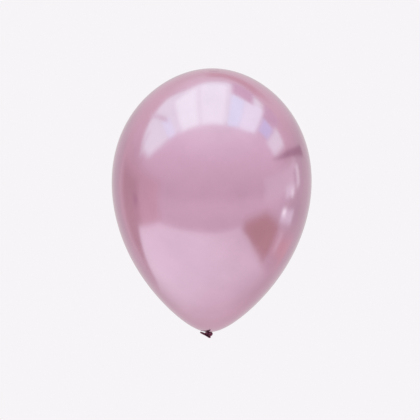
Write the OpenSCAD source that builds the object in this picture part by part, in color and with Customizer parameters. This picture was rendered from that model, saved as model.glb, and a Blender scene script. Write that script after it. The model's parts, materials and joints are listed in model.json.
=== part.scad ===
// Round latex balloon, blown up and tied off with an overhand knot.
// The origin is the tie point, the middle of the pinched neck. +Z runs up to the crown, and the
// knot and its tail are below. The side with the tail's mouth faces -Y.

/* [Envelope] */
// Widest diameter of the blown-up envelope
envelope_d = 280; // [240:1:310]
// Height from the envelope's lowest ring to its crown
envelope_h = 384; // [330:1:420]
// Height of the envelope's lowest ring above the tie point
envelope_lift = 1.5; // [1.5:0.1:4]
// Thickness of the wall as drawn
wall = 0.3; // [0.2:0.05:0.5]
// How much fuller the top is than the bottom
top_fullness = 0.2; // [0.1:0.01:0.25]
// How much the top and bottom are drawn in against the middle
end_trim = 0.1; // [0.05:0.01:0.15]
// How much the shoulders under the crown are filled out
shoulder_fill = 0.05; // [0:0.01:0.1]
// How much the two poles are rounded off
pole_trim = 0.08; // [0.02:0.01:0.12]
// Angle down the profile, from the crown, where the wall runs into the throat
throat_angle = 171; // [168:1:173]

/* [Crown] */
// Radius of the thick spot left where the wet latex drained off the former's tip
spot_r = 8; // [5:0.5:12]
// Thickness of that spot at its middle
spot_t = 0.6; // [0.3:0.1:1]

/* [Neck] */
// Radius of the pinched neck, where a ribbon ties
neck_r = 2.4; // [2.2:0.1:2.6]
// Height of the neck's upper end above the tie point
neck_top = 1; // [0.8:0.1:1.2]
// Gap that lets the neck twist under the throat
twist_gap = 0.2; // [0.1:0.05:0.3]

/* [Knot] */
// Radius of the strand that wraps the knot
wrap_strand_r = 2.4; // [2:0.1:2.5]
// Radius of the wrap's middle line
wrap_r = 3.4; // [3.2:0.1:3.6]
// Depth of the wrap's middle line below the tie point
wrap_drop = 3.6; // [3.5:0.1:4]
// Radius of the strand inside the wrap
core_r = 2.8; // [2.7:0.1:3]
// Depth of the core's top rim below the tie point
core_rim = 1.9; // [1.8:0.1:2]
// Depth of the core's lower end below the tie point
core_foot = 7; // [6.5:0.1:8]
// Clearance between a knuckle and its groove
joint_gap = 0.2; // [0.15:0.05:0.3]

/* [Tail] */
// Radius of the stub that carries the tail out of the knot
stub_r = 1.3; // [1:0.1:1.4]
// Radius of the stub's knuckle, on the tail's hinge line
knuckle_r = 1.5; // [1.4:0.1:1.6]
// Length of that knuckle
knuckle_l = 4; // [3:0.5:5]
// Distance of the tail's hinge line from the balloon's axis
hinge_reach = 7.8; // [7.7:0.1:8.5]
// Depth of the tail's hinge line below the tie point
hinge_drop = 3.4; // [3:0.1:4]
// Angle of the stub to the left of the front
stub_yaw = 10; // [0:1:20]
// Angle of the tail to the left of the front
tail_yaw = 27; // [15:1:40]
// Angle of the tail above level
tail_pitch = 27; // [0:1:30]
// Angle that the mouth is rolled by, its right end downward
tail_roll = 14; // [0:1:25]
// Length of the tail from its hinge line to its mouth
tail_l = 8; // [7:0.5:10]
// Width of the flattened mouth
mouth_w = 18; // [16:0.5:20]
// Height of the mouth at its open end
mouth_h = 5; // [4:0.5:6]
// How much the mouth closes towards its other end
mouth_skew = 0.5; // [0.3:0.05:0.6]
// Thickness of the tail's wall as drawn
tail_wall = 0.7; // [0.5:0.1:0.8]
// Radius of the rolled lip
lip_r = 0.8; // [0.6:0.1:0.9]

/* [Hidden] */
$fn = 64;
profile_steps = 57;         // stretches of the envelope's profile, crown to throat
throat_step = 9;            // degrees between two points of the throat's curve
ring_points = 28;           // points round the tail and along the lip
bead_points = 10;           // points round the lip's bead
spot_sink = 0.27;           // depth of the spot's top below the inside of the crown
spot_bow = [0.25, 0.75];    // rise of the spot's underside halfway out and at its rim, by thickness
spot_rim = 0.8;             // level of the top of the spot's rim, by thickness
core_tip = 1.4;             // length and end radius of the core's tapered foot
groove_l = 6.2;             // length of the groove that the neck's knuckle turns in
tail_steps = 6;             // stretches of the tail's skin, root to mouth
tail_root = 1.1;            // distance of the tail's solid root from its hinge line
root_size = [4.6, 2.2];     // width and thickness of the tail at its root
mouth_depth = 4.5;          // depth of the hollow behind the mouth
mouth_floor = 0.35;         // size of the hollow's floor against the mouth
latex = [0.80, 0.62, 0.72];      // blown-up latex
slack_latex = [0.36, 0.15, 0.24];  // latex that isn't stretched

// Radius of the pear outline at an angle down from the crown, before it is scaled to size
function pear(t) =
    sin(t) * (1 + top_fullness * cos(t) - end_trim * pow(cos(t), 2)
              + shoulder_fill * pow(cos(t), 3) - pole_trim * pow(cos(t), 4));
widest = max([for (t = [60 : 0.5 : 110]) pear(t)]);

// A point of the profile, a given distance inside the outer skin
function profile(t, inset = 0) =
    [max(0, (envelope_d / 2 - inset) * pear(t) / widest),
     envelope_lift + inset + (envelope_h - 2 * inset) * (1 + cos(t)) / 2];

throat_out = profile(throat_angle);
throat_in = profile(throat_angle, wall);

// The throat's curve: level where the wall ends, and upright where it meets the neck
function throat(a) =
    [throat_out[0] - (throat_out[0] - neck_r) * sin(a),
     neck_top + (throat_out[1] - neck_top) * cos(a)];

// A closed ring of points round the tail, at a size [width, height] and a level z
function tail_ring(size, z) = [
    for (i = [0 : ring_points - 1])
        let (a = 360 * i / ring_points, open = (1 + mouth_skew * cos(a)) / (1 + mouth_skew))
        [size[0] / 2 * cos(a), size[1] / 2 * open * sin(a), z]
];

// Sizes of the tail's skin from its root, u = 0, to its mouth, u = 1
function tail_size(u) =
    [root_size[0] + (mouth_w - root_size[0]) * sin(90 * u),
     root_size[1] + (mouth_h - root_size[1]) * pow(u, 1.5)];

// Triangles between ring i and ring j of n points
function band(i, j, n) = [
    for (k = [0 : n - 1])
        let (m = (k + 1) % n)
        each [[i * n + k, i * n + m, j * n + m], [i * n + k, j * n + m, j * n + k]]
];

// A solid through a row of rings, closed flat at both ends
module loft(rings) {
    n = len(rings[0]);
    last = len(rings) - 1;
    polyhedron(
        points = [for (ring = rings) each ring],
        faces = concat(
            [[for (k = [n - 1 : -1 : 0]) k]],
            [for (i = [0 : last - 1]) each band(i, i + 1, n)],
            [[for (k = [0 : n - 1]) last * n + k]]));
}

// A closed loop through a row of rings, the last joined to the first
module loop_loft(rings) {
    polyhedron(
        points = [for (ring = rings) each ring],
        faces = [for (i = [0 : len(rings) - 1]) each band(i, (i + 1) % len(rings), len(rings[0]))]);
}

// Puts its children, made with the hinge line along X and the tail along -Z, at the tail's place
module at_tail() {
    rotate([0, 0, -stub_yaw])
        translate([0, -hinge_reach, -hinge_drop])
            rotate([0, 0, stub_yaw - tail_yaw])
                rotate([-90 - tail_pitch, 0, 0])
                    rotate([0, 0, tail_roll])
                        children();
}

// The thin skin that holds the air, open below where it runs into the throat
module envelope() {
    color(latex)
        rotate_extrude()
            polygon(concat(
                [for (i = [0 : profile_steps]) profile(throat_angle * i / profile_steps)],
                [for (i = [profile_steps : -1 : 0]) profile(throat_angle * i / profile_steps, wall)]));
}

// The thick drip spot on the inside of the crown
module crown_spot() {
    top = profile(0, wall)[1] - spot_sink;
    color(latex)
        translate([0, 0, top - spot_t])
            rotate_extrude()
                polygon([[0, 0], [spot_r / 2, spot_t * spot_bow[0]], [spot_r, spot_t * spot_bow[1]],
                         [spot_r, spot_t * spot_rim], [spot_r / 2, spot_t], [0, spot_t]]);
}

// The pleated throat, where the skin is gathered down to the neck
module neck_gather() {
    color(latex)
        rotate_extrude()
            polygon(concat(
                [[0, throat_in[1]], throat_in],
                [for (a = [0 : throat_step : 90]) throat(a)],
                [[0, neck_top]]));
}

// The pinched neck, with a knuckle across its lower end that the knot swings on
module neck_strand() {
    color(slack_latex)
        intersection() {
            translate([0, 0, -neck_r])
                cylinder(r = neck_r, h = neck_r + neck_top - twist_gap);
            union() {
                rotate([0, 90, 0])
                    cylinder(r = neck_r, h = 2 * neck_r, center = true);
                translate([-neck_r, -neck_r, 0])
                    cube([2 * neck_r, 2 * neck_r, neck_top]);
            }
        }
}

// Room for the neck's knuckle to turn in
module swing_groove() {
    rotate([0, 90, 0])
        cylinder(r = neck_r + joint_gap, h = groove_l, center = true);
}

// The strand inside the knot, with the stub that leads out to the tail
module knot_core() {
    foot = core_foot - core_tip;
    color(slack_latex)
        difference() {
            union() {
                translate([0, 0, -foot])
                    cylinder(r = core_r, h = foot - core_rim);
                translate([0, 0, -core_foot])
                    cylinder(r1 = core_tip, r2 = core_r, h = core_tip);
                stub();
            }
            swing_groove();
        }
}

// The rod of the stub, from the balloon's axis to the tail's hinge line
module stub_rod() {
    rotate([0, 0, -stub_yaw])
        translate([0, 0, -hinge_drop])
            rotate([90, 0, 0])
                cylinder(r = stub_r, h = hinge_reach);
}

// The stub and its knuckle
module stub() {
    stub_rod();
    at_tail()
        rotate([0, 90, 0])
            cylinder(r = knuckle_r, h = knuckle_l, center = true);
}

// The strand that is wrapped round the core and pulled tight
module knot_wrap() {
    color(slack_latex)
        difference() {
            translate([0, 0, -wrap_drop])
                rotate_extrude()
                    translate([wrap_r, 0])
                        circle(r = wrap_strand_r);
            translate([0, 0, -core_foot])
                cylinder(r = core_r, h = core_foot);
            stub_rod();
            swing_groove();
        }
}

// The end of the neck beyond the knot, a flattened tube open at its mouth
module tail() {
    skin = [
        for (i = [0 : tail_steps])
            let (u = i / tail_steps)
            tail_ring(tail_size(u), -tail_root - (tail_l - tail_root) * u)
    ];
    hollow = [
        for (u = [1, 0.5, 0])
            tail_ring((tail_size(1) - 2 * [tail_wall, tail_wall]) * (mouth_floor + (1 - mouth_floor) * u),
                      -tail_l + mouth_depth * (1 - u))
    ];
    color(slack_latex)
        at_tail()
            difference() {
                loft(concat(skin, hollow));
                rotate([0, 90, 0])
                    cylinder(r = knuckle_r + joint_gap, h = 2 * root_size[0], center = true);
            }
}

// The bead round the mouth, rolled from the edge of the neck
module rolled_lip() {
    edge = tail_ring([mouth_w - tail_wall, mouth_h - tail_wall], -tail_l - lip_r);
    beads = [
        for (i = [0 : ring_points - 1])
            let (along = edge[(i + 1) % ring_points] - edge[(i + ring_points - 1) % ring_points],
                 outward = [along[1], -along[0], 0] / norm(along))
            [for (k = [0 : bead_points - 1])
                let (b = 360 * k / bead_points)
                edge[i] + lip_r * (cos(b) * [0, 0, 1] + sin(b) * outward)]
    ];
    color(slack_latex)
        at_tail()
            loop_loft(beads);
}

envelope();
crown_spot();
neck_gather();
neck_strand();
knot_core();
knot_wrap();
tail();
rolled_lip();
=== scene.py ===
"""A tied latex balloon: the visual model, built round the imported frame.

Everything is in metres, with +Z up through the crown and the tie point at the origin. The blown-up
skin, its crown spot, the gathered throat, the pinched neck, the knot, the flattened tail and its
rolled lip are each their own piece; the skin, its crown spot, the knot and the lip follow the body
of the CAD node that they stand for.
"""
import json
import logging
import math
from dataclasses import dataclass, field
from enum import Enum

import bpy
import numpy as np
from mathutils import Matrix, Vector


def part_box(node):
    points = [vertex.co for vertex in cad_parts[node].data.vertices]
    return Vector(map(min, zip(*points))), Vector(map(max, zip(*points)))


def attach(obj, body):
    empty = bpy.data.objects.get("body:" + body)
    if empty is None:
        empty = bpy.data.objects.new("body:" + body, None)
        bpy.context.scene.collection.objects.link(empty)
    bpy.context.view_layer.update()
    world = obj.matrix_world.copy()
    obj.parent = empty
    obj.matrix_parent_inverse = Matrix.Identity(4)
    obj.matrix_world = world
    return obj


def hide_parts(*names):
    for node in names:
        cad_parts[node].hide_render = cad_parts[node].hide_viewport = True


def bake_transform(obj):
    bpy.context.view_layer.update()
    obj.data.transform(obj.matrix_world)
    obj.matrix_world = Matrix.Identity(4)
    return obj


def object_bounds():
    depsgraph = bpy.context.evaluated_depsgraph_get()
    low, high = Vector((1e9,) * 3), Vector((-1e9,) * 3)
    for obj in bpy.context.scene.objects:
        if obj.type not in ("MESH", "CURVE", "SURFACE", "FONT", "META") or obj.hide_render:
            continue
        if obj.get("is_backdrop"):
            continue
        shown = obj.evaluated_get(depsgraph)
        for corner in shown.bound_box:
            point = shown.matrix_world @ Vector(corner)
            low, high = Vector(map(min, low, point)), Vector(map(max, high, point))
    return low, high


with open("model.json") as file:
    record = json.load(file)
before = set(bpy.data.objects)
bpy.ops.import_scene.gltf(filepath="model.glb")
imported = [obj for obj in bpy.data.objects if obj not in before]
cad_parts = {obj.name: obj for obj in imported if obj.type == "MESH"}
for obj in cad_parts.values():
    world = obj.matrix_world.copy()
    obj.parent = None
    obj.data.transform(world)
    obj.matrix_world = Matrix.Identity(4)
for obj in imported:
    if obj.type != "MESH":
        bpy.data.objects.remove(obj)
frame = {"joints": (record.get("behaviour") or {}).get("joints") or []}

logging.basicConfig(level=logging.INFO, format="%(name)s: %(message)s")
log = logging.getLogger("balloon")

MM = 0.001
Colour = tuple[float, float, float]
Waves = tuple[tuple[int, float, float], ...]
UNEVEN_WIDTHS: Waves = ((3, 0.07, 1.3), (5, 0.045, 0.4), (7, 0.02, 2.2))


class Slot(Enum):
    """The record's material slots."""

    STRETCHED = "stretched_latex"
    SLACK = "slack_latex"


class Sweep(Enum):
    """How a lighting card is laid out on the inside of the room's sphere."""

    WALL = "wall"  # by compass angle from the front and by height
    ARCH = "arch"  # by angle from straight up towards the right, and towards the front


class End(Enum):
    """What closes one end of a skin."""

    OPEN = "open"
    POINT = "point"


# ---------------------------------------------------------------- helpers


def ease(low: float, high: float, x: np.ndarray) -> np.ndarray:
    """A smooth step between two values.

    Args:
        low: Where the step starts, at 0.
        high: Where the step ends, at 1. It may be less than low.
        x: The values to look up.

    Returns:
        The step's height at each value, from 0 to 1.
    """
    t = np.clip((np.asarray(x, float) - low) / (high - low), 0.0, 1.0)
    return t * t * (3.0 - 2.0 * t)


def waves(turn: np.ndarray, terms: Waves) -> np.ndarray:
    """A sum of sine waves round a ring, used for the unevenness of soft latex.

    Args:
        turn: Angles round the ring, in radians.
        terms: The count, size and phase of each wave.

    Returns:
        The sum at each angle.
    """
    total = np.zeros_like(np.asarray(turn, float))
    for count, size, phase in terms:
        total = total + size * np.sin(count * turn + phase)
    return total


def folds(turn: np.ndarray, count: int, sharpness: float = 0.6,
          rounding: float = 0.012) -> np.ndarray:
    """Pleats of uneven width round a ring: rounded ridges between pinched valleys.

    Args:
        turn: Angles round the ring, in radians.
        count: The number of pleats.
        sharpness: Below 1, the valleys are narrow and the ridges broad.
        rounding: How far the bottoms of the valleys are rounded off.

    Returns:
        The height of the pleats, from -0.5 in a valley to 0.5 on a ridge.
    """
    uneven = turn + waves(turn, UNEVEN_WIDTHS)
    height = np.sqrt(np.sin(uneven * count / 2.0) ** 2 + rounding)
    return height ** sharpness - 0.5


def skin(name: str, rows: np.ndarray, first: End = End.OPEN, last: End = End.OPEN,
         joined: bool = False) -> bpy.types.Object:
    """Makes a smooth mesh through rows of points, each row a closed ring.

    Args:
        name: The name of the piece.
        rows: Points in metres, as an array of rows by points by 3.
        first: What closes the first row.
        last: What closes the last row.
        joined: Whether the last row runs on into the first, as on a bead.

    Returns:
        The new object, linked into the scene.
    """
    count, around = rows.shape[:2]
    points = rows.reshape(-1, 3)
    i = np.arange(count if joined else count - 1)[:, None]
    k = np.arange(around)[None, :]
    after, beside = (i + 1) % count, (k + 1) % around
    quads = np.stack([i * around + k, after * around + k,
                      after * around + beside, i * around + beside], -1).reshape(-1, 4)
    faces = quads.tolist()
    ring = np.arange(around)
    if first is End.POINT:
        points = np.vstack([points, rows[0].mean(0)])
        faces += [[len(points) - 1, int(a), int((a + 1) % around)] for a in ring]
    if last is End.POINT:
        points = np.vstack([points, rows[-1].mean(0)])
        base = (count - 1) * around
        faces += [[len(points) - 1, base + int((a + 1) % around), base + int(a)] for a in ring]
    mesh = bpy.data.meshes.new(name)
    mesh.from_pydata(points.tolist(), [], faces)
    mesh.validate()
    mesh.update()
    mesh.shade_smooth()
    obj = bpy.data.objects.new(name, mesh)
    bpy.context.scene.collection.objects.link(obj)
    return obj


def faded_grid(name: str, points: np.ndarray, fade: np.ndarray) -> bpy.types.Mesh:
    """Makes a square grid of faces that carries how solid it is at each point.

    Args:
        name: The name of the mesh.
        points: Points in metres, as an array of rows by columns by 3.
        fade: The solidness at each point, from 0 to 1.

    Returns:
        The new mesh.
    """
    steps = points.shape[0]
    n = np.arange(steps * steps).reshape(steps, steps)
    faces = np.stack([n[:-1, :-1], n[1:, :-1], n[1:, 1:], n[:-1, 1:]], -1).reshape(-1, 4)
    mesh = bpy.data.meshes.new(name)
    mesh.from_pydata(points.reshape(-1, 3).tolist(), [], faces.tolist())
    mesh.attributes.new("fade", "FLOAT", "POINT").data.foreach_set(
        "value", fade.reshape(-1).astype(np.float32))
    return mesh


def smooth_path(knots: np.ndarray, count: int) -> np.ndarray:
    """Runs a smooth curve through a row of values, with a Catmull-Rom spline.

    Args:
        knots: The values to pass through, as an array of rows by columns.
        count: The number of values wanted.

    Returns:
        The values along the curve, spaced evenly by distance over the first three columns.
    """
    padded = np.vstack([2 * knots[0] - knots[1], knots, 2 * knots[-1] - knots[-2]])
    fine = []
    for a in range(len(knots) - 1):
        p0, p1, p2, p3 = padded[a:a + 4]
        for t in np.linspace(0, 1, 24, endpoint=False):
            fine.append(0.5 * (2 * p1 + (p2 - p0) * t + (2 * p0 - 5 * p1 + 4 * p2 - p3) * t**2
                               + (3 * p1 - p0 - 3 * p2 + p3) * t**3))
    fine.append(knots[-1])
    line = np.array(fine)
    gone = np.concatenate([[0], np.cumsum(np.linalg.norm(np.diff(line[:, :3], axis=0), axis=1))])
    at = np.linspace(0, gone[-1], count)
    return np.stack([np.interp(at, gone, line[:, c]) for c in range(line.shape[1])], 1)


def sweep_rings(path: np.ndarray, sides: np.ndarray, around: int, up: Colour,
                twist: float = 0.0, creases: int = 7, crease: float = 0.1) -> np.ndarray:
    """Sweeps a creased oval along a path, as a strand of gathered latex.

    Args:
        path: Points of the middle line, in metres.
        sides: The oval's two half sizes at each point.
        around: Points round each ring.
        up: The direction that the second half size starts along.
        twist: How far the creases turn from start to end, in radians.
        creases: The number of lengthwise creases.
        crease: Depth of the creases, as a share of the half size.

    Returns:
        The rings, as an array of rows by points by 3.
    """
    along = np.gradient(path, axis=0)
    along /= np.linalg.norm(along, axis=1)[:, None]
    turn = np.linspace(0, 2 * math.pi, around, endpoint=False)
    side = np.array(up, float)
    rings = []
    for a, (point, ahead) in enumerate(zip(path, along)):
        side = side - ahead * np.dot(side, ahead)
        side /= np.linalg.norm(side)
        across = np.cross(ahead, side)
        share = a / (len(path) - 1)
        depth = 1 + crease * (folds(turn + twist * share, creases)
                              + 0.3 * np.sin(5 * turn + 9 * share))
        rings.append(point + np.outer(np.cos(turn) * sides[a, 0] * depth, across)
                     + np.outer(np.sin(turn) * sides[a, 1] * depth, side))
    return np.array(rings)


# ---------------------------------------------------------------- finishes


class NodeSheet:
    """A small helper that adds and links shader nodes."""

    def __init__(self, tree: bpy.types.NodeTree) -> None:
        """Keeps the node tree to add to."""
        self.tree = tree

    def add(self, kind: str, inputs: dict[str | int, object] | None = None,
            **options: object) -> bpy.types.Node:
        """Adds a node.

        Args:
            kind: The node's type.
            inputs: What each input is linked to or set to.
            **options: The node's own settings.

        Returns:
            The new node.
        """
        node = self.tree.nodes.new(kind)
        for key, value in options.items():
            setattr(node, key, value)
        for key, value in (inputs or {}).items():
            if isinstance(value, bpy.types.NodeSocket):
                self.tree.links.new(value, node.inputs[key])
            else:
                node.inputs[key].default_value = value
        return node

    def maths(self, what: str, *values: object) -> bpy.types.NodeSocket:
        """Adds a maths node.

        Args:
            what: The operation.
            *values: Its inputs, each a number or another node's output.

        Returns:
            The node's output.
        """
        return self.add("ShaderNodeMath", dict(enumerate(values)), operation=what).outputs[0]

    def span(self, value: object, low: float, high: float,
             out: tuple[float, float] = (0.0, 1.0)) -> bpy.types.NodeSocket:
        """Adds a smooth, clamped map from one range to another.

        Args:
            value: The value to map.
            low: The start of the range.
            high: The end of the range.
            out: What the two ends become.

        Returns:
            The node's output.
        """
        node = self.add("ShaderNodeMapRange",
                        {0: value, 1: low, 2: high, 3: out[0], 4: out[1]},
                        interpolation_type="SMOOTHSTEP", clamp=True)
        return node.outputs[0]

    def blend(self, share: object, first: object, second: object,
              how: str = "MIX") -> bpy.types.NodeSocket:
        """Adds a colour mix.

        Args:
            share: How much of the second colour.
            first: The first colour.
            second: The second colour.
            how: The blend type.

        Returns:
            The mixed colour.
        """
        node = self.add("ShaderNodeMix", {0: share, 6: first, 7: second},
                        data_type="RGBA", blend_type=how)
        return node.outputs[2]


def new_group(name: str, takes: tuple[tuple[str, str, object], ...],
              gives: tuple[tuple[str, str], ...]) -> tuple[NodeSheet, bpy.types.Node,
                                                           bpy.types.Node]:
    """Starts a shader node group.

    Args:
        name: The group's name.
        takes: Name, type and default of each input.
        gives: Name and type of each output.

    Returns:
        The group's node sheet, its input node and its output node.
    """
    tree = bpy.data.node_groups.new(name, "ShaderNodeTree")
    for label, kind, start in takes:
        socket = tree.interface.new_socket(label, in_out="INPUT", socket_type=kind)
        if start is not None:
            socket.default_value = start
    for label, kind in gives:
        tree.interface.new_socket(label, in_out="OUTPUT", socket_type=kind)
    return (NodeSheet(tree), tree.nodes.new("NodeGroupInput"), tree.nodes.new("NodeGroupOutput"))


def latex_grain() -> bpy.types.NodeTree:
    """Builds the grain that all the latex shares: pigment flake, wet clouds and surface height.

    Returns:
        The node group.
    """
    found = bpy.data.node_groups.get("latex_grain")
    if found:
        return found
    sheet, start, end = new_group(
        "latex_grain",
        (("Place", "NodeSocketVector", None), ("Flake Scale", "NodeSocketFloat", 900.0),
         ("Cloud Scale", "NodeSocketFloat", 18.0)),
        (("Flake", "NodeSocketFloat"), ("Cloud", "NodeSocketFloat"), ("Height", "NodeSocketFloat")))
    place = start.outputs["Place"]
    flake = sheet.add("ShaderNodeTexNoise", {"Vector": place, "Scale": start.outputs["Flake Scale"],
                                             "Detail": 2.0, "Roughness": 0.6}).outputs["Fac"]
    cloud = sheet.add("ShaderNodeTexNoise", {"Vector": place, "Scale": start.outputs["Cloud Scale"],
                                             "Detail": 3.0, "Roughness": 0.5}).outputs["Fac"]
    wet = sheet.add("ShaderNodeTexNoise", {
        "Vector": place, "Scale": sheet.maths("MULTIPLY", start.outputs["Cloud Scale"], 9.0),
        "Detail": 2.0}).outputs["Fac"]
    height = sheet.maths("MULTIPLY_ADD", flake, 0.35, wet)
    for label, value in (("Flake", sheet.span(flake, 0.3, 0.7)),
                         ("Cloud", sheet.span(cloud, 0.3, 0.7)), ("Height", height)):
        sheet.tree.links.new(value, end.inputs[label])
    return sheet.tree


def stretch_tone() -> bpy.types.NodeTree:
    """Builds the tone of thick and thin latex: deep at the crown spot and towards the neck.

    Returns:
        The node group.
    """
    found = bpy.data.node_groups.get("stretch_tone")
    if found:
        return found
    sheet, start, end = new_group(
        "stretch_tone",
        (("Place", "NodeSocketVector", None), ("Thin", "NodeSocketColor", (0.6, 0.35, 0.5, 1)),
         ("Thick", "NodeSocketColor", (0.3, 0.1, 0.2, 1)),
         ("Middle Height", "NodeSocketFloat", 0.2),
         ("Spot Radius", "NodeSocketFloat", 0.008), ("Throat Radius", "NodeSocketFloat", 0.02)),
        (("Colour", "NodeSocketColor"), ("Thickness", "NodeSocketFloat")))
    split = sheet.add("ShaderNodeSeparateXYZ", {0: start.outputs["Place"]})
    reach = sheet.maths("SQRT", sheet.maths(
        "ADD", sheet.maths("POWER", split.outputs[0], 2.0),
        sheet.maths("POWER", split.outputs[1], 2.0)))
    above = sheet.maths("GREATER_THAN", split.outputs[2], start.outputs["Middle Height"])
    below = sheet.maths("SUBTRACT", 1.0, above)
    spot = sheet.maths("DIVIDE", reach, start.outputs["Spot Radius"])
    throat = sheet.maths("DIVIDE", reach, start.outputs["Throat Radius"])
    crown = sheet.maths("MULTIPLY", above, sheet.maths(
        "ADD", sheet.span(spot, 1.08, 0.9, (0.0, 0.10)), sheet.span(spot, 4.5, 0.9, (0.0, 0.05))))
    neck = sheet.maths("MULTIPLY", below, sheet.span(throat, 1.0, 0.12))
    thick = sheet.maths("ADD", crown, neck)
    colour = sheet.blend(thick, start.outputs["Thin"], start.outputs["Thick"])
    sheet.tree.links.new(colour, end.inputs["Colour"])
    sheet.tree.links.new(thick, end.inputs["Thickness"])
    return sheet.tree


@dataclass(frozen=True)
class LatexFinish:
    """Pearl latex, from stretched and bright to slack and deep; the slack kind's deep colour is
    partly its own tone and partly painted shade.

    Colours are linear. roughness and spread give the middle and the range of the gloss.
    """

    name: str
    thin: Colour
    thick: Colour
    metallic: float
    roughness: float
    spread: float
    coat: float
    coat_roughness: float
    flake_scale: float = 900.0
    flake_tone: float = 0.03
    cloud_scale: float = 18.0
    cloud_tone: float = 0.03
    bump: float = 0.02
    throat_radius: float = 14 * MM

    def material(self) -> bpy.types.Material:
        """Builds the material once and gives it again afterwards.

        Returns:
            The material.
        """
        found = bpy.data.materials.get(self.name)
        if found:
            return found
        made = bpy.data.materials.new(self.name)
        made.use_nodes = True
        made.node_tree.nodes.clear()
        sheet = NodeSheet(made.node_tree)
        place = sheet.add("ShaderNodeTexCoord").outputs["Object"]
        low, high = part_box("envelope")
        grain = sheet.add("ShaderNodeGroup", node_tree=latex_grain())
        tone = sheet.add("ShaderNodeGroup", node_tree=stretch_tone())
        for node in (grain, tone):
            sheet.tree.links.new(place, node.inputs["Place"])
        grain.inputs["Flake Scale"].default_value = self.flake_scale
        grain.inputs["Cloud Scale"].default_value = self.cloud_scale
        tone.inputs["Thin"].default_value = (*self.thin, 1)
        tone.inputs["Thick"].default_value = (*self.thick, 1)
        tone.inputs["Middle Height"].default_value = (low.z + high.z) / 2
        spot_low, spot_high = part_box("crown_spot")
        tone.inputs["Spot Radius"].default_value = (spot_high.x - spot_low.x) / 2
        tone.inputs["Throat Radius"].default_value = self.throat_radius
        light = sheet.add("ShaderNodeMapRange", {0: grain.outputs["Flake"], 3: 1 - self.flake_tone,
                                                 4: 1 + self.flake_tone}).outputs[0]
        wide = sheet.add("ShaderNodeMapRange", {0: grain.outputs["Cloud"], 3: 1 - self.cloud_tone,
                                                4: 1 + self.cloud_tone}).outputs[0]
        shade = sheet.maths("MULTIPLY", light, wide)
        grey = sheet.add("ShaderNodeCombineColor", {0: shade, 1: shade, 2: shade}).outputs[0]
        colour = sheet.blend(1.0, tone.outputs["Colour"], grey, "MULTIPLY")
        gloss = sheet.add("ShaderNodeMapRange", {
            0: grain.outputs["Cloud"], 3: self.roughness - self.spread,
            4: self.roughness + self.spread}).outputs[0]
        rough = sheet.maths("ADD", gloss, sheet.maths("MULTIPLY", tone.outputs["Thickness"], 0.1))
        bump = sheet.add("ShaderNodeBump", {"Height": grain.outputs["Height"],
                                            "Strength": self.bump, "Distance": 0.1 * MM})
        shader = sheet.add("ShaderNodeBsdfPrincipled", {
            "Base Color": colour, "Metallic": self.metallic, "Roughness": rough,
            "Normal": bump.outputs[0], "Coat Weight": self.coat,
            "Coat Roughness": self.coat_roughness})
        sheet.add("ShaderNodeOutputMaterial", {"Surface": shader.outputs[0]})
        return made


THIN = (0.60, 0.345, 0.485)
THICK = (0.20, 0.045, 0.10)
TIGHT_SKIN = LatexFinish("tight_pearl_latex", THIN, THICK, metallic=1.0, roughness=0.15,
                         spread=0.02, coat=0.0, coat_roughness=0.08)
# The slack colour is partly the deeper tone of unstretched latex and partly painted shade: it is
# darkened further for the shade under the belly that falls on the neck, knot, tail and lip.
SLACK_SKIN_WITH_PAINTED_SHADE = LatexFinish("slack_pearl_latex_painted_shade", (0.125, 0.027, 0.058), THICK, metallic=0.8,
                         roughness=0.30, spread=0.05, coat=0.25, coat_roughness=0.15,
                         flake_scale=1600.0, flake_tone=0.12, cloud_tone=0.06, bump=0.12)


@dataclass(frozen=True)
class GlowFinish:
    """A surface of the studio that gives off even light."""

    name: str
    colour: Colour
    fades: bool = True

    def material(self) -> bpy.types.Material:
        """Builds the material: even light, faded out by the mesh's own fade values if it fades.

        Returns:
            The material.
        """
        made = bpy.data.materials.new(self.name)
        made.use_nodes = True
        made.node_tree.nodes.clear()
        sheet = NodeSheet(made.node_tree)
        glow = sheet.add("ShaderNodeEmission", {"Color": (*self.colour, 1)}).outputs[0]
        if self.fades:
            fade = sheet.add("ShaderNodeAttribute", attribute_name="fade").outputs["Fac"]
            clear = sheet.add("ShaderNodeBsdfTransparent").outputs[0]
            glow = sheet.add("ShaderNodeMixShader", {0: fade, 1: clear, 2: glow}).outputs[0]
        sheet.add("ShaderNodeOutputMaterial", {"Surface": glow})
        return made


# ---------------------------------------------------------------- the balloon


@dataclass
class PearOutline:
    """The outline of the blown-up skin, by angle from the crown, fitted to the CAD envelope."""

    end_angle: float = math.radians(171)
    top_fullness: float = 0.2
    end_trim: float = 0.1
    shoulder_fill: float = 0.05
    pole_trim: float = 0.08
    widest_radius: float = field(init=False)
    crown: float = field(init=False)
    height: float = field(init=False)
    scale: float = field(init=False)

    def __post_init__(self) -> None:
        """Takes the sizes from the CAD envelope."""
        low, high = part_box("envelope")
        self.widest_radius = (high.x - low.x) / 2
        self.crown = high.z
        self.height = (high.z - low.z) * 2 / (1 - math.cos(self.end_angle))
        self.scale = float(self.pear(np.radians(np.arange(60, 110, 0.5))).max())

    def pear(self, angle: np.ndarray) -> np.ndarray:
        """The outline's radius before scaling, at angles from the crown.

        Args:
            angle: The angles.

        Returns:
            The radius at each angle, as a share of the unscaled widest.
        """
        c = np.cos(angle)
        return np.sin(angle) * (1 + self.top_fullness * c - self.end_trim * c**2
                                + self.shoulder_fill * c**3 - self.pole_trim * c**4)

    def radius(self, angle: np.ndarray) -> np.ndarray:
        """The distance from the axis at angles from the crown."""
        return self.widest_radius * self.pear(angle) / self.scale

    def level(self, angle: np.ndarray) -> np.ndarray:
        """The height at angles from the crown."""
        return self.crown - self.height * (1 - np.cos(angle)) / 2


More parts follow.
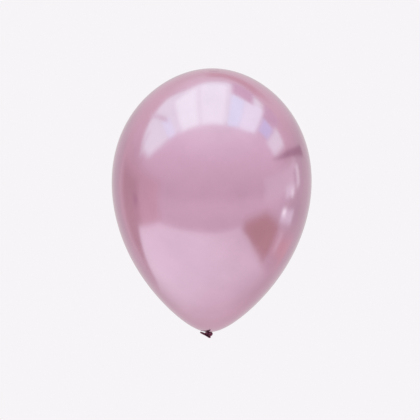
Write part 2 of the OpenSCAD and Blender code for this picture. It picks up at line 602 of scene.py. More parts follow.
@dataclass
class Gathers:
    """The pleats where the skin is drawn together, the same in every piece that they cross."""

    count: int = 19
    start_angle: float = math.radians(152)
    full_angle: float = math.radians(172)
    depth: float = 0.42 * MM

    def depth_at(self, angle: float) -> float:
        """How deep the pleats are at an angle from the crown."""
        return self.depth * float(ease(self.start_angle, self.full_angle, np.array(angle))) ** 2

    def lift(self, turn: np.ndarray, angle: float) -> np.ndarray:
        """How far the skin stands in or out at an angle from the crown.

        Args:
            turn: Angles round the balloon.
            angle: The angle from the crown.

        Returns:
            The distance at each angle, in metres.
        """
        return self.depth_at(angle) * (folds(turn, self.count) - 0.5)


@dataclass
class EnvelopeSkin:
    """The blown-up skin, from the crown to the edge of the throat."""

    outline: PearOutline
    gathers: Gathers
    around: int = 304
    along: int = 150
    tip_angle: float = math.radians(0.25)
    crowding: float = 0.06
    uneven: Waves = ((2, 0.0009, 0.6), (3, 0.0006, 2.1))
    finish: LatexFinish = TIGHT_SKIN

    def build(self) -> bpy.types.Object:
        """Turns the outline round the axis, with the slight unevenness of real latex.

        Returns:
            The new object.
        """
        turn = np.linspace(0, 2 * math.pi, self.around, endpoint=False)
        # Rows sit closer together at the two ends, where the skin curves and pleats most.
        share = np.linspace(0, 1, self.along)
        push = self.crowding * np.sin(2 * math.pi * share) * share
        angles = self.outline.end_angle * (share - push)
        angles[0] = self.tip_angle
        rows = []
        for angle in angles:
            body = float(np.sin(angle)) ** 2
            reach = self.outline.radius(angle) * (1 + body * waves(turn, self.uneven))
            level = self.outline.level(angle) - self.gathers.lift(turn, angle)
            rows.append(np.stack([reach * np.cos(turn), reach * np.sin(turn),
                                  np.broadcast_to(level, turn.shape)], -1))
        return skin("envelope_skin", np.array(rows), first=End.POINT)

    def dress(self, obj: bpy.types.Object) -> None:
        """Gives the skin its latex and its body, and hides its CAD node.

        Args:
            obj: The piece to dress.
        """
        obj.data.materials.append(self.finish.material())
        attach(obj, "balloon")
        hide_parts("envelope")


@dataclass
class CrownSpotSkin:
    """The thick spot at the crown, where the wet latex gathered into a last drop."""

    outline: PearOutline
    swell: float = 0.12 * MM
    edge: float = 0.04 * MM
    widest_angle: float = 20.0
    rim: Waves = ((2, 0.05, 0.9), (3, 0.03, 2.4), (5, 0.015, 0.2))
    around: int = 96
    along: int = 24
    finish: LatexFinish = TIGHT_SKIN

    def build(self) -> bpy.types.Object:
        """Lays a low dome over the crown, feathered into the skin at its uneven edge.

        Returns:
            The new object.
        """
        low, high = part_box("crown_spot")
        reach = (high.x - low.x) / 2
        turn = np.linspace(0, 2 * math.pi, self.around, endpoint=False)
        angles = np.radians(np.linspace(0, self.widest_angle, 200))
        rim = 1 + waves(turn, self.rim)
        rows = []
        for share in np.linspace(0.02, 1, self.along):
            r = share * reach * rim
            under = np.interp(r, self.outline.radius(angles), self.outline.level(angles))
            # Faint rings, as a drying drop leaves.
            dome = (1 - share**3) ** 2 * (1 - 0.2 * math.cos(9 * share))
            rise = self.swell * dome - self.edge * share
            rows.append(np.stack([r * np.cos(turn), r * np.sin(turn), under + rise], -1))
        return skin("crown_spot_skin", np.array(rows), first=End.POINT)

    def dress(self, obj: bpy.types.Object) -> None:
        """Gives the spot its latex and its body, and hides its CAD node.

        Args:
            obj: The piece to dress.
        """
        obj.data.materials.append(self.finish.material())
        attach(obj, "balloon")
        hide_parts("crown_spot")


@dataclass
class ThroatSkin:
    """The pleated skin that runs from the blown-up part down to the pinched neck."""

    outline: PearOutline
    gathers: Gathers
    around: int = 456
    along: int = 56
    middle_depth: float = 0.34 * MM
    twist: float = 0.7
    lead: float = 0.35
    drop: float = 2.7 * MM
    foot_rings: tuple[tuple[float, float], ...] = ((0.99, 0.75), (0.95, 0.5), (0.86, 0.34),
                                                   (0.72, 0.30))
    finish: LatexFinish = TIGHT_SKIN

    def build(self) -> bpy.types.Object:
        """Draws the skin in along one curve, with its pleats turning a little as they close.

        Returns:
            The new object.
        """
        turn = np.linspace(0, 2 * math.pi, self.around, endpoint=False)
        neck_low, neck_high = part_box("neck_strand")
        neck = (neck_high.x - neck_low.x) / 2
        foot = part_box("neck_gather")[0].z
        reach = float(self.outline.radius(self.outline.end_angle))
        top = float(self.outline.level(self.outline.end_angle))
        edge = self.gathers.depth_at(self.outline.end_angle)
        # The curve leaves the envelope at the envelope's own slope and meets the neck upright.
        before = self.outline.end_angle - 0.002
        slope = Vector((reach - float(self.outline.radius(before)),
                        top - float(self.outline.level(before)))).normalized()
        guides = (Vector((reach, top)), Vector((reach, top)) + slope * self.lead * (reach - neck),
                  Vector((neck, foot + self.drop)), Vector((neck, foot)))
        rows = []
        for share in np.linspace(0, 1, self.along):
            t, u = share, 1 - share
            at = (guides[0] * u**3 + guides[1] * 3 * u * u * t + guides[2] * 3 * u * t * t
                  + guides[3] * t**3)
            out = Vector((share, share - 1)).normalized()
            depth = edge + self.middle_depth * math.sin(math.pi * share) - 0.1 * MM * share
            lift = depth * folds(turn, self.gathers.count) - 0.5 * edge * (1 - share)
            # The columns of the mesh turn with the pleats, so each valley runs along one column.
            around = turn - self.twist * share * share
            r, z = at.x + out.x * lift, at.y + out.y * lift
            rows.append(np.stack([r * np.cos(around), r * np.sin(around), z], -1))
        for r, z in self.foot_rings:
            out = np.hypot(rows[-1][:, 0], rows[-1][:, 1])
            ring = out / out.mean() * neck * r
            rows.append(np.stack([ring * np.cos(around), ring * np.sin(around),
                                  np.full_like(turn, foot * z)], -1))
        return skin("throat_skin", np.array(rows))

    def dress(self, obj: bpy.types.Object) -> None:
        """Gives the throat its latex, bakes its placement into the mesh and hides its CAD node.

        Args:
            obj: The piece to dress.
        """
        obj.data.materials.append(self.finish.material())
        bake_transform(obj)
        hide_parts("neck_gather")


@dataclass
class NeckSkin:
    """The pinched neck between the throat and the knot."""

    around: int = 96
    along: int = 40
    fullness: tuple[float, ...] = (0.78, 0.86, 0.95, 0.97, 0.92, 0.86)
    finish: LatexFinish = SLACK_SKIN_WITH_PAINTED_SHADE

    def build(self) -> bpy.types.Object:
        """Sweeps the twisted strand from inside the throat down into the knot.

        Returns:
            The new object.
        """
        low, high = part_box("neck_strand")
        half = (high.x - low.x) / 2
        levels = np.linspace(high.z + 0.4 * MM, low.z, self.along)
        path = np.stack([np.zeros(self.along), np.zeros(self.along), levels], -1)
        full = np.interp(np.linspace(0, 1, self.along), np.linspace(0, 1, len(self.fullness)),
                         self.fullness) * half
        rows = sweep_rings(path, np.stack([full, full], -1), self.around, (0, 1, 0),
                           twist=1.6, creases=11, crease=0.16)
        return skin("neck_skin", rows)

    def dress(self, obj: bpy.types.Object) -> None:
        """Gives the neck its latex, bakes its placement into the mesh and hides its CAD node.

        Args:
            obj: The piece to dress.
        """
        obj.data.materials.append(self.finish.material())
        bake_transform(obj)
        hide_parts("neck_strand")


def tail_hinge() -> tuple[Vector, Vector]:
    """Finds where the tail bends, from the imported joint.

    Returns:
        The hinge's place, and the level direction from the balloon's axis to it.
    """
    joint = next(j for j in frame["joints"] if j["child"] == "tail")
    place = Vector(joint["pos_m"])
    return place, Vector((place.x, place.y, 0)).normalized()


@dataclass
class KnotCoreSkin:
    """The strand inside the knot: down through it, round its foot and out towards the tail.

    Each point of the route gives its distance towards the tail as a share of the way to the
    hinge, its depth and its half width in millimetres, and its drift to the side.
    """

    route: tuple[tuple[float, float, float, float], ...] = (
        (0.00, -2.2, 1.2, 0.0), (-0.03, -2.7, 2.1, 0.1), (-0.05, -3.6, 2.4, 0.2),
        (-0.01, -4.5, 2.45, 0.15), (0.17, -4.75, 2.15, 0.0), (0.38, -4.35, 1.7, -0.1),
        (0.60, -3.75, 1.45, -0.1), (0.80, -3.45, 1.35, 0.0), (1.00, -3.4, 1.3, 0.0))
    around: int = 80
    along: int = 90
    finish: LatexFinish = SLACK_SKIN_WITH_PAINTED_SHADE

    def build(self) -> bpy.types.Object:
        """Sweeps the creased strand along its route.

        Returns:
            The new object.
        """
        hinge, way = tail_hinge()
        reach = math.hypot(hinge.x, hinge.y)
        side = Vector((-way.y, way.x, 0))
        knots = np.array([[*(way * reach * go + side * drift * MM + Vector((0, 0, deep * MM))),
                           half * MM] for go, deep, half, drift in self.route])
        line = smooth_path(knots, self.along)
        rows = sweep_rings(line[:, :3], np.stack([line[:, 3] * 1.04, line[:, 3] * 0.96], -1),
                           self.around, tuple(side), twist=2.2, creases=9, crease=0.13)
        return skin("knot_core_skin", rows, first=End.POINT, last=End.POINT)

    def dress(self, obj: bpy.types.Object) -> None:
        """Gives the strand its latex and its body, and hides its CAD node.

        Args:
            obj: The piece to dress.
        """
        obj.data.materials.append(self.finish.material())
        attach(obj, "knot")
        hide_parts("knot_core")


@dataclass
class KnotWrapSkin:
    """The turn of the knot: once and a bit round the core, parted in front by the strand's way out.

    Each point of the route gives the angle past the way out in degrees, the distance from the
    axis, the depth, the half width and the half height, in millimetres.
    """

    route: tuple[tuple[float, float, float, float, float], ...] = (
        (-78, 1.3, -5.2, 1.0, 0.9), (-48, 2.9, -5.25, 1.4, 1.1), (-20, 3.7, -5.2, 1.5, 1.25),
        (0, 3.9, -5.15, 1.5, 1.3), (25, 3.75, -5.0, 1.7, 1.4), (60, 3.45, -4.5, 2.0, 1.9),
        (100, 3.35, -3.9, 2.25, 2.2), (145, 3.35, -3.6, 2.4, 2.35), (190, 3.35, -3.55, 2.4, 2.35),
        (235, 3.35, -3.5, 2.35, 2.25), (275, 3.35, -3.2, 2.25, 1.95), (315, 3.5, -2.6, 1.9, 1.5),
        (345, 3.7, -2.25, 1.65, 1.25), (370, 3.7, -2.15, 1.6, 1.15), (400, 3.2, -2.2, 1.5, 1.1),
        (430, 2.0, -2.4, 1.3, 1.0), (455, 0.9, -2.7, 0.9, 0.8))
    around: int = 88
    along: int = 260
    finish: LatexFinish = SLACK_SKIN_WITH_PAINTED_SHADE

    def build(self) -> bpy.types.Object:
        """Sweeps the pleated band round the core.

        Returns:
            The new object.
        """
        way = tail_hinge()[1]
        start = math.atan2(way.y, way.x)
        knots = []
        for degrees, reach, deep, wide, high in self.route:
            angle = start + math.radians(degrees)
            knots.append([reach * math.cos(angle), reach * math.sin(angle), deep, wide, high])
        line = smooth_path(np.array(knots) * MM, self.along)
        rows = sweep_rings(line[:, :3], line[:, 3:5], self.around, (0, 0, 1),
                           twist=3.4, creases=9, crease=0.15)
        return skin("knot_wrap_skin", rows, first=End.POINT, last=End.POINT)

    def dress(self, obj: bpy.types.Object) -> None:
        """Gives the turn its latex and its body, and hides its CAD node.

        Args:
            obj: The piece to dress.
        """
        obj.data.materials.append(self.finish.material())
        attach(obj, "knot")
        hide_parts("knot_wrap")


@dataclass
class Mouth:
    """The shape of the flattened tail, shared by its skin and its lip. Sizes are in millimetres."""

    yaw: float = 27
    pitch: float = 27
    roll: float = 14
    length: float = 8.0
    root: float = 1.1
    root_half: tuple[float, float] = (2.3, 1.1)
    mouth_half: tuple[float, float] = (8.8, 1.95)
    skew: float = 0.5
    thinnest: float = 0.12
    sag: Waves = ((2, 0.22, 1.9), (3, 0.16, 0.4))
    edge_waves: Waves = ((2, 0.30, 0.8), (3, 0.14, 2.0), (5, 0.08, 0.5))

    def frame(self) -> Matrix:
        """The tail's own axes: its hinge along X and its mouth towards -Z.

        Returns:
            The axes, as a matrix from the tail to the balloon.
        """
        return (Matrix.Translation(tail_hinge()[0])
                @ Matrix.Rotation(math.radians(-self.yaw), 4, "Z")
                @ Matrix.Rotation(math.radians(-90 - self.pitch), 4, "X")
                @ Matrix.Rotation(math.radians(self.roll), 4, "Z"))

    def halves(self, reach: float) -> tuple[float, float]:
        """The half width and half height of the tail.

        Args:
            reach: The distance from its hinge.

        Returns:
            The half width and half height there.
        """
        u = min(max((reach - self.root) / (self.length - self.root), 0.0), 1.0)
        (wide, high), (end_wide, end_high) = self.root_half, self.mouth_half
        return (wide + (end_wide - wide) * math.sin(math.pi / 2 * u),
                high + (end_high - high) * u**1.5)

    def ring(self, turn: np.ndarray, halves: tuple[float, float], share: float,
             inset: float = 0.0) -> np.ndarray:
        """The outline of the tail at one place along it, in its own axes.

        Args:
            turn: Angles round the tail, 0 at its open end.
            halves: The half width and half height there.
            share: How far along the tail, from 0 at the root to 1 at the mouth.
            inset: How far inside the outer surface.

        Returns:
            X and Y of each point, in millimetres.
        """
        wide, high = halves[0] - inset, max(halves[1] - inset, self.thinnest)
        open_end = (1 + self.skew * share * np.cos(turn)) / (1 + self.skew * share)
        sag = share * waves(turn, self.sag)
        return np.stack([wide * np.cos(turn), high * open_end * np.sin(turn) + sag], -1)

    def edge_drop(self, turn: np.ndarray) -> np.ndarray:
        """How far the mouth's uneven edge stands past its mean place, in millimetres."""
        return waves(turn, self.edge_waves)


@dataclass
class TailSkin:
    """The end of the neck past the knot: a flattened, creased tube, open at its mouth."""

    mouth: Mouth
    wall: float = 0.35
    sleeve: float = 2.4
    sleeve_half: float = 1.5
    tuck: float = 0.45
    tuck_length: float = 1.1
    depth: float = 4.6
    creases: int = 15
    crease: float = 0.34
    bend: float = 1.4
    around: int = 200
    finish: LatexFinish = SLACK_SKIN_WITH_PAINTED_SHADE

    def build(self) -> bpy.types.Object:
        """Runs the skin from the knot over the hinge to the mouth, and back down inside.

        Returns:
            The new object.
        """
        turn = np.linspace(0, 2 * math.pi, self.around, endpoint=False)
        axes = self.mouth.frame()
        hinge, way = tail_hinge()
        along = -axes.col[2].to_3d()
        rows = []
        for reach in np.concatenate([np.linspace(-self.sleeve, self.mouth.root, 16)[:-1],
                                     np.linspace(self.mouth.root, self.mouth.length, 34)]):
            share = float(ease(0.0, self.mouth.length, np.array(reach)))
            halves = self.mouth.halves(reach)
            neck = float(ease(self.mouth.root, -self.sleeve, np.array(reach)))
            # The first rings start inside the strand, so the sleeve grows out of it with no edge.
            tuck = 1 - self.tuck * float(ease(self.tuck_length - self.sleeve, -self.sleeve,
                                              np.array(reach)))
            halves = tuple((h + (self.sleeve_half - h) * neck) * tuck for h in halves)
            rows.append(self.place(turn, axes, hinge, way, along, reach, halves, share, 0.0))
        for reach in np.linspace(self.mouth.length, self.mouth.length - self.depth, 18):
            share = float(ease(0.0, self.mouth.length, np.array(reach)))
            wide, high = self.mouth.halves(reach)
            shut = float(ease(self.mouth.length - 0.3 * self.depth, self.mouth.length - self.depth,
                              np.array(reach)))
            rows.append(self.place(turn, axes, hinge, way, along, reach,
                                   (wide, high * (1 - 0.75 * shut)), share, self.wall))
        return skin("tail_skin", np.array(rows), last=End.POINT)

    def place(self, turn: np.ndarray, axes: Matrix, hinge: Vector, way: Vector, along: Vector,
              reach: float, halves: tuple[float, float], share: float,
              inset: float) -> np.ndarray:
        """Places one ring of the skin.

        Args:
            turn: Angles round the tail.
            axes: The tail's own axes.
            hinge: Where the tail bends.
            way: The direction of the strand before the hinge.
            along: The direction of the tail past the hinge.
            reach: The ring's distance past the hinge, in millimetres.
            halves: The half width and half height there.
            share: How far along the tail.
            inset: How far inside the outer surface.

        Returns:
            The ring's points, in metres.
        """
        flat = self.mouth.ring(turn, halves, share, inset)
        # Creases fan out from the pinched root and die away at the rolled lip.
        crease = self.crease * math.sin(math.pi * (0.12 + 0.8 * share)) ** 0.8
        flat = flat * (1 + (crease * folds(turn + 0.3 * math.sin(3 * share), self.creases, 0.8)
                            / max(halves[1], 0.9) * 0.55)[:, None])
        past = float(ease(-self.bend, self.bend, np.array(reach)))
        ahead = (way.lerp(along, past)).normalized()
        first = axes.col[0].to_3d()
        first = (first - ahead * first.dot(ahead)).normalized()
        second = first.cross(ahead)
        centre = hinge + (way * min(reach, 0.0) + along * max(reach, 0.0)) * MM
        drop = share**3 * self.mouth.edge_drop(turn)
        points = (np.array(centre) + np.outer(flat[:, 0] * MM, first)
                  + np.outer(flat[:, 1] * MM, second) + np.outer(drop * MM, along))
        return points

    def dress(self, obj: bpy.types.Object) -> None:
        """Gives the tail its latex, bakes its placement into the mesh and hides its CAD node.

        Args:
            obj: The piece to dress.
        """
        obj.data.materials.append(self.finish.material())
        along = -self.mouth.frame().col[2].to_3d()
        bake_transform(obj)
        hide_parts("tail")


@dataclass
class LipSkin:
    """The bead round the mouth, rolled up from the edge of the neck."""

    mouth: Mouth
    radius: float = 0.72
    past: float = 0.45
    inset: float = 0.18
    wrinkles: Waves = ((3, 0.07, 0.3), (7, 0.04, 1.1), (61, 0.018, 0.0), (83, 0.014, 0.7))
    roll_line: tuple[float, float, float] = (2.4, 0.22, 0.13)
    around: int = 260
    bead: int = 28
    finish: LatexFinish = SLACK_SKIN_WITH_PAINTED_SHADE

    def build(self) -> bpy.types.Object:
        """Sweeps the bead round the mouth, with its roll line and its fine cross wrinkles.

        Returns:
            The new object.
        """
        turn = np.linspace(0, 2 * math.pi, self.around, endpoint=False)
        flat = self.mouth.ring(turn, self.mouth.halves(self.mouth.length), 1.0, self.inset)
        drop = self.mouth.length + self.past + self.mouth.edge_drop(turn)
        line = np.stack([flat[:, 0], flat[:, 1], -drop], -1)
        run = np.roll(line, -1, 0) - np.roll(line, 1, 0)
        run /= np.linalg.norm(run, axis=1)[:, None]
        out = np.cross(run, (0, 0, 1.0))
        out /= np.linalg.norm(out, axis=1)[:, None]
        down = np.cross(run, out)
        size = self.radius * (1 + waves(turn, self.wrinkles))
        # The roll line is a groove, given by its angle round the bead, its width and its depth.
        at, width, depth = self.roll_line
        rows = []
        for b in np.linspace(0, 2 * math.pi, self.bead, endpoint=False):
            groove = 1 - depth * math.exp(-(math.remainder(b - at, 2 * math.pi) / width) ** 2)
            rows.append(line + out * (math.cos(b) * size * groove)[:, None]
                        + down * (math.sin(b) * size * groove)[:, None])
        rings = np.array(rows).transpose(1, 0, 2) * MM
        axes = np.array(self.mouth.frame())
        rings = rings @ axes[:3, :3].T + axes[:3, 3]
        return skin("lip_skin", rings, joined=True)

    def dress(self, obj: bpy.types.Object) -> None:
        """Gives the lip its latex and its body, and hides its CAD node.

        Args:
            obj: The piece to dress.
        """
        obj.data.materials.append(self.finish.material())
        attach(obj, "tail")
        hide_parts("rolled_lip")


# ---------------------------------------------------------------- studio


@dataclass(frozen=True)
class Card:
    """A light card on the inside of the room's sphere, bounded by angles in degrees.

    across gives its two sides. near and far give its lower and upper edge at points spread evenly
    from one side to the other. soft is the width of its faded edge, in degrees.
    """

    name: str
    sweep: Sweep
    across: tuple[float, float]
    near: tuple[float, ...]
    far: tuple[float, ...]
    colour: Colour
    soft: float = 3.0
    layer: int = 0
    layer_step: float = 0.02
    steps: int = 40

    def build(self, centre: Vector, radius: float) -> bpy.types.Object:
        """Makes the card.

        Args:
            centre: The middle of the room.
            radius: The distance of the first layer of cards. Later layers stand a little nearer.

        Returns:
            The card's object, which the camera doesn't see.
        """
        share = np.linspace(0, 1, self.steps)
        u, v = np.meshgrid(share, share, indexing="ij")
        a = np.radians(self.across[0] + (self.across[1] - self.across[0]) * u)
        low = np.interp(u, np.linspace(0, 1, len(self.near)), self.near)
        high = np.interp(u, np.linspace(0, 1, len(self.far)), self.far)
        b = np.radians(low + (high - low) * v)
        if self.sweep is Sweep.WALL:
            way = np.stack([np.cos(b) * np.sin(a), -np.cos(b) * np.cos(a), np.sin(b)], -1)
        else:
            way = np.stack([np.cos(b) * np.sin(a), -np.sin(b), np.cos(b) * np.cos(a)], -1)
        reach = radius * (1 - self.layer_step * self.layer)
        wide = abs(self.across[1] - self.across[0])
        edge = np.minimum(np.minimum(u, 1 - u) * wide, np.minimum(v, 1 - v) * np.abs(high - low))
        mesh = faded_grid(self.name, np.array(centre) + reach * way, ease(0.0, self.soft, edge))
        mesh.materials.append(GlowFinish(self.name, self.colour).material())
        obj = bpy.data.objects.new(self.name, mesh)
        bpy.context.scene.collection.objects.link(obj)
        obj.visible_camera = False
        obj.visible_shadow = False
        obj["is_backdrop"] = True
        return obj


LILAC_WHITE = (1.25, 1.78, 1.54)
BRIGHT = (1.42, 2.16, 1.79)
CLEAR = (1.34, 1.94, 1.74)
BLUISH = (1.20, 1.90, 1.80)
BLUE = (0.98, 1.32, 1.48)
DUSK = (0.98, 0.98, 1.02)
GREY = (1.06, 1.28, 1.19)
WOOD = (0.71, 0.57, 0.51)
ROSE = (0.88, 0.80, 0.78)
CLARET = (0.73, 0.62, 0.60)
DARK_BAR = (0.54, 0.43, 0.48)

CARDS = (
    # the overhead bank, and its brighter and duller panels
    Card("bank", Sweep.ARCH, (-78, 48), (-10, -24, -35, -33, -40, -42, -38, -32),
         (9, 19, 22, 24, 25.5, 25.5, 20.5, 13), LILAC_WHITE, soft=7.0),
    Card("panel_main", Sweep.ARCH, (-36.5, -13), (-20, -31), (23.5, 25.5), BRIGHT, layer=1,
         soft=4.0),
    Card("panel_middle", Sweep.ARCH, (-14, 14.5), (-33, -34), (25.5, 25), (1.39, 2.08, 1.76),
         layer=1, soft=4.0),
    Card("panel_cool", Sweep.ARCH, (15, 30), (-20, -17), (24.5, 20.5), BLUISH, layer=1),
    Card("panel_clear", Sweep.ARCH, (28, 47), (-16, -22, -24), (21.5, 19, 13), CLEAR, layer=1),
    Card("panel_far", Sweep.ARCH, (58, 74), (-20, -15), (10, 8), (1.20, 1.62, 1.42), layer=1),
    Card("panel_blue", Sweep.ARCH, (46, 60), (-14, -13), (8, 6), BLUE, layer=2),
    Card("panel_left", Sweep.ARCH, (-51, -40), (-8, -6), (19, 21), (1.24, 1.86, 1.76), layer=1),
    Card("gap_purple", Sweep.ARCH, (15, 38), (-44, -38), (-18, -15.5), DUSK, layer=2, soft=4.0),
    Card("gap_dusk", Sweep.ARCH, (45, 62), (-34, -32), (-11, -14), (0.90, 0.88, 0.92), layer=1),
    Card("streak_left", Sweep.ARCH, (-57, -43), (-34, -6), (-25, 5), GREY, layer=2, soft=2.0),
    Card("streak_low", Sweep.ARCH, (-80, -60), (-8, -13), (-4, -9), GREY, layer=2, soft=1.5),
    Card("seam_left", Sweep.ARCH, (-38.5, -34.5), (-20, -20), (23, 23), (1.22, 1.66, 1.50), layer=2,
         soft=1.6),
    # the end of the bank seen low on the right, with the bar under it
    Card("bar_right", Sweep.WALL, (79, 137), (15.2, 7.0, -4.5), (18.2, 13.2, 2.0), DARK_BAR,
         layer=3, soft=1.6),
    Card("window_right", Sweep.WALL, (58, 118), (-16, -14), (10, 8), (0.99, 1.08, 1.02), layer=1,
         soft=7.0),
    Card("streak_right", Sweep.WALL, (111, 119), (-12, -11), (2, 1), (1.12, 1.38, 1.24), layer=2,
         soft=2.2),
    Card("line_right", Sweep.WALL, (106, 111.5), (-9, -9), (0, 0), (0.74, 0.72, 0.74), layer=3,
         soft=1.6),
    Card("glow_upper", Sweep.WALL, (90, 108), (-15, -15), (-4, -6), (1.12, 1.36, 1.26), layer=2,
         soft=3.2),
    Card("spot_upper", Sweep.WALL, (100, 107), (-14.5, -15), (-8.5, -9), (1.40, 1.86, 1.60),
         layer=3, soft=2.2),
    Card("glow_lower", Sweep.WALL, (86, 112), (-28, -29), (-18, -19), (1.08, 1.30, 1.22), layer=2,
         soft=3.4),
    Card("spot_lower", Sweep.WALL, (88, 97), (-24, -24.5), (-17.5, -18), (1.58, 2.20, 1.86),
         layer=3, soft=2.6),
    # darker wood and furniture past the sheet
    Card("wood_right", Sweep.WALL, (35, 94), (-36, -50, -53), (-20, -14.5, -25), WOOD, layer=1,
         soft=9.0),
    Card("gleam_right", Sweep.WALL, (94, 104), (-42, -42), (-29, -30), (0.98, 0.98, 0.92), layer=3,
         soft=3.0),
    Card("wood_far", Sweep.WALL, (88, 134), (-47, -44), (-30, -27), (0.88, 0.72, 0.68), layer=2,
         soft=8.0),
    Card("rose_left", Sweep.WALL, (-136, -54), (-44, -36), (16, 8), ROSE, layer=1, soft=13.0),
    Card("claret_left", Sweep.WALL, (-126, -85), (-52, -40), (5, 2), CLARET, layer=2, soft=11.0),
    Card("blot_left", Sweep.WALL, (-100, -89), (-21, -20), (-11, -12), (0.60, 0.46, 0.54), layer=3,
         soft=4.5),
    Card("rose_behind", Sweep.WALL, (138, 188), (24, 24), (44, 44), (0.90, 0.76, 0.74), layer=1,
         soft=8.0),
)


@dataclass
class Studio:
    """The plain floor, the pale surroundings and the soft light.

    The sheet is the part of the floor that the balloon's underside mirrors. Its sizes are shares
    of the floor's depth below the balloon, from the point under its middle. The right edge slants
    inward towards the back, the front left corner is rounded off, and the back edge slants on the
    left and falls away past back_open. The room's stops are a direction's height and the light
    from there.
    """

    pale: Colour = (0.930, 0.905, 0.930)
    sheet: Colour = (1.17, 1.38, 1.28)
    depth: float = 1.2
    half_floor: float = 30.0
    radius: float = 5.0
    sheet_left: float = -1.9
    sheet_right: float = 1.12
    sheet_front: float = 1.71
    sheet_back: float = -1.15
    sheet_steps: int = 60
    left_edge: float = -1.84
    right_edge: float = 0.90
    right_widest: float = 1.10
    right_slant: float = 0.19
    front_edge: float = 1.68
    corner_start: float = -0.15
    corner_round: float = 0.25
    back_edge: float = -0.635
    back_slant: float = -0.22
    back_open: float = -0.7
    back_drop: float = 2.0
    paling: float = 0.12
    paling_left: float = 0.84
    paling_right: float = 0.46
    front_stops: tuple[tuple[float, Colour], ...] = (
        (-0.60, (0.86, 0.87, 0.85)), (-0.375, (0.92, 0.94, 0.92)), (-0.22, (0.95, 0.97, 0.95)),
        (-0.07, (0.88, 0.88, 0.87)), (0.21, (0.97, 0.98, 0.97)), (0.47, (1.04, 1.09, 1.07)),
        (0.70, (1.11, 1.21, 1.18)), (0.87, (1.14, 1.32, 1.23)))
    back_stops: tuple[tuple[float, Colour], ...] = (
        (-1.0, (0.95, 0.94, 0.91)), (-0.94, (0.88, 0.84, 0.82)), (-0.79, (0.81, 0.75, 0.75)),
        (-0.47, (0.75, 0.73, 0.72)), (0.0, (0.77, 0.76, 0.75)), (0.21, (0.90, 0.87, 0.85)),
        (0.50, (0.97, 0.96, 0.91)), (0.70, (1.06, 1.15, 1.08)))

    def build(self) -> None:
        """Builds the floor, the cards and the surroundings."""
        centre = sum(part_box("envelope"), Vector()) / 2
        self.lay_floor(centre)
        self.lay_sheet(centre)
        for card in CARDS:
            card.build(centre, self.radius)
        self.fill_room()
        bpy.context.scene.view_settings.view_transform = "Standard"

    def add_stage(self, name: str, mesh: bpy.types.Mesh, colour: Colour,
                  fades: bool = True) -> bpy.types.Object:
        """Adds a glowing surface of the studio.

        Args:
            name: The name of the surface.
            mesh: Its mesh.
            colour: The light it gives.
            fades: Whether the mesh carries fade values.

        Returns:
            The new object.
        """
        mesh.materials.append(GlowFinish(name, colour, fades).material())
        obj = bpy.data.objects.new(name, mesh)
        bpy.context.scene.collection.objects.link(obj)
        obj.visible_shadow = False
        obj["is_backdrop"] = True
        return obj

    def lay_floor(self, centre: Vector) -> None:
        """Lays the plain floor that the camera sees, below the middle of the balloon.

        Args:
            centre: The middle of the balloon.
        """
        half, level = self.half_floor, centre.z - self.depth
        mesh = bpy.data.meshes.new("floor")
        mesh.from_pydata([(-half, -half, level), (half, -half, level), (half, half, level),
                          (-half, half, level)], [], [(0, 1, 2, 3)])
        floor = self.add_stage("floor", mesh, self.pale, fades=False)
        floor.visible_glossy = floor.visible_diffuse = False

    def lay_sheet(self, centre: Vector) -> None:
        """Lays the brighter sheet on the floor, which only reflections see.

        Args:
            centre: The middle of the balloon.
        """
        share = np.linspace(0, 1, self.sheet_steps)
        u, v = np.meshgrid(share, share, indexing="ij")
        x = self.sheet_left + (self.sheet_right - self.sheet_left) * u
        y = -(self.sheet_front + (self.sheet_back - self.sheet_front) * v)
        ahead = -y
        right = np.minimum(self.right_edge + self.right_slant * ahead, self.right_widest)
        front = self.front_edge - self.corner_round * np.minimum(x - self.corner_start, 0) ** 2
        back = (self.back_edge + self.back_slant * x
                - self.back_drop * np.maximum(x - self.back_open, 0))
        inside = ease(0.0, 0.06, right - x) * ease(0.0, 0.07, x - self.left_edge)
        inside *= ease(0.0, 0.10, front - ahead) * ease(0.0, 0.09, ahead - back)
        # It pales away to the back and a little to the right.
        middle = (self.paling + self.paling_left * np.minimum(x, 0)
                  - self.paling_right * np.maximum(x, 0) ** 2)
        inside *= ease(-0.5, 0.5, ahead - middle) * (1 - 0.40 * ease(-0.5, 1.0, x))
        points = np.stack([x * self.depth, y * self.depth,
                           np.full_like(x, centre.z - self.depth)], -1)
        sheet = self.add_stage("sheet", faded_grid("sheet", points, inside), self.sheet)
        sheet.visible_camera = False

    def ramp(self, sheet: NodeSheet, height: bpy.types.NodeSocket,
             stops: tuple[tuple[float, Colour], ...]) -> bpy.types.NodeSocket:
        """Adds a ramp of light by height.

        Args:
            sheet: The node sheet to add to.
            height: The height of the direction, from -1 to 1.
            stops: The ramp's heights and colours.

        Returns:
            The ramp's colour.
        """
        place = sheet.maths("MULTIPLY_ADD", height, 0.5, 0.5)
        node = sheet.add("ShaderNodeValToRGB", {0: place})
        node.color_ramp.interpolation = "LINEAR"
        marks = node.color_ramp.elements
        while len(marks) < len(stops):
            marks.new(0.5)
        for mark, (at, colour) in zip(marks, stops):
            mark.position, mark.color = at * 0.5 + 0.5, (*colour, 1)
        return node.outputs[0]

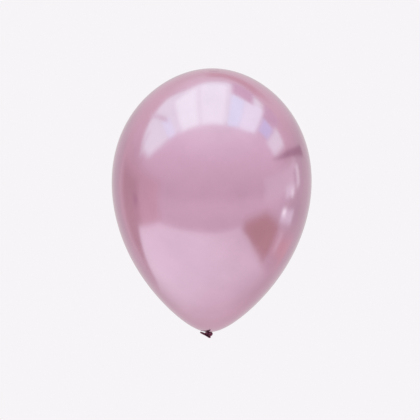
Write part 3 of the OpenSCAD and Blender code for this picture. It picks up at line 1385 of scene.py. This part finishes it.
    def fill_room(self) -> None:
        """Sets the surroundings: plain and pale, a little darker behind than in front."""
        world = bpy.data.worlds.new("room")
        bpy.context.scene.world = world
        world.use_nodes = True
        world.node_tree.nodes.clear()
        sheet = NodeSheet(world.node_tree)
        way = sheet.add("ShaderNodeSeparateXYZ",
                        {0: sheet.add("ShaderNodeTexCoord").outputs["Generated"]})
        room = sheet.blend(sheet.span(way.outputs[1], -0.25, 0.45),
                           self.ramp(sheet, way.outputs[2], self.front_stops),
                           self.ramp(sheet, way.outputs[2], self.back_stops))
        straight = sheet.add("ShaderNodeLightPath").outputs["Is Camera Ray"]
        glow = sheet.add("ShaderNodeBackground", {
            "Color": sheet.blend(straight, room, (*self.pale, 1))}).outputs[0]
        sheet.add("ShaderNodeOutputWorld", {"Surface": glow})


@dataclass
class Viewpoint:
    """The camera, a little above the balloon and in front of it."""

    elevation: float = math.radians(18)
    distance: float = 2.5
    lens: float = 152.0
    lean: float = math.radians(1.05)
    aim_offset: tuple[float, float, float] = (-1.61 * MM, 0.0, -5.34 * MM)

    def build(self) -> bpy.types.Object:
        """Places the camera and makes it the scene's own.

        Returns:
            The new object.
        """
        low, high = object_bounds()
        target = (Vector(low) + Vector(high)) / 2 + Vector(self.aim_offset)
        back = Vector((0, -math.cos(self.elevation), math.sin(self.elevation)))
        data = bpy.data.cameras.new("view")
        data.lens, data.sensor_width = self.lens, 36.0
        obj = bpy.data.objects.new("view", data)
        turn = (-back).to_track_quat("-Z", "Y").to_matrix().to_4x4()
        obj.matrix_world = (Matrix.Translation(target + back * self.distance) @ turn
                            @ Matrix.Rotation(self.lean, 4, "Z"))
        bpy.context.scene.collection.objects.link(obj)
        bpy.context.scene.camera = obj
        return obj


def main() -> None:
    """Builds the pieces in order and reports each."""
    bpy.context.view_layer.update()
    Viewpoint().build()
    Studio().build()
    outline, gathers, mouth = PearOutline(), Gathers(), Mouth()
    for maker in (EnvelopeSkin(outline, gathers), CrownSpotSkin(outline),
                  ThroatSkin(outline, gathers), NeckSkin(), KnotCoreSkin(), KnotWrapSkin(),
                  TailSkin(mouth), LipSkin(mouth)):
        piece = maker.build()
        maker.dress(piece)
        log.info("%s: %d faces", piece.name, len(piece.data.polygons))


if __name__ == "__main__":
    main()
